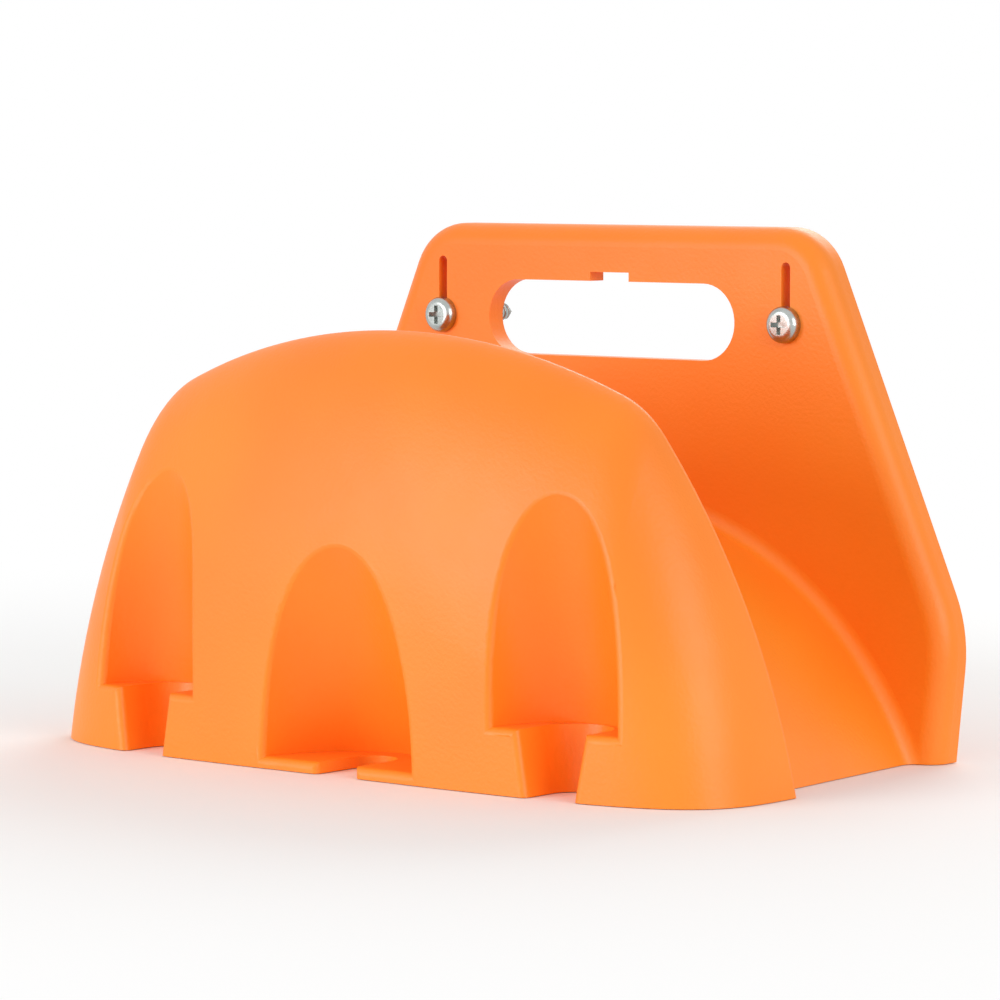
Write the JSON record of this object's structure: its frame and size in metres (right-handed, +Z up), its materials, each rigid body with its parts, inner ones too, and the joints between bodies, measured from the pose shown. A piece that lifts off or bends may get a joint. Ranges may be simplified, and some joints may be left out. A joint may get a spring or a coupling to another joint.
{
  "type": "hose hanger",
  "caption": "Wall hanger for a garden hose: arched hollow saddle between a back plate with a hand slot and a domed hood with front pockets for nozzles.",
  "frame": {"origin": "on the wall plane, midway between the two screw axes", "axes": "+X to the right along the wall, +Y into the wall along the screws, +Z up"},
  "size_m": [0.231, 0.1462, 0.141],
  "materials": {
    "orange_plastic": "satin",
    "zinc_steel": "bright zinc"
  },
  "bodies": {
    "root": {"hanger_body": "orange_plastic", "mounting_screws": "zinc_steel"}
  },
  "joints": []
}
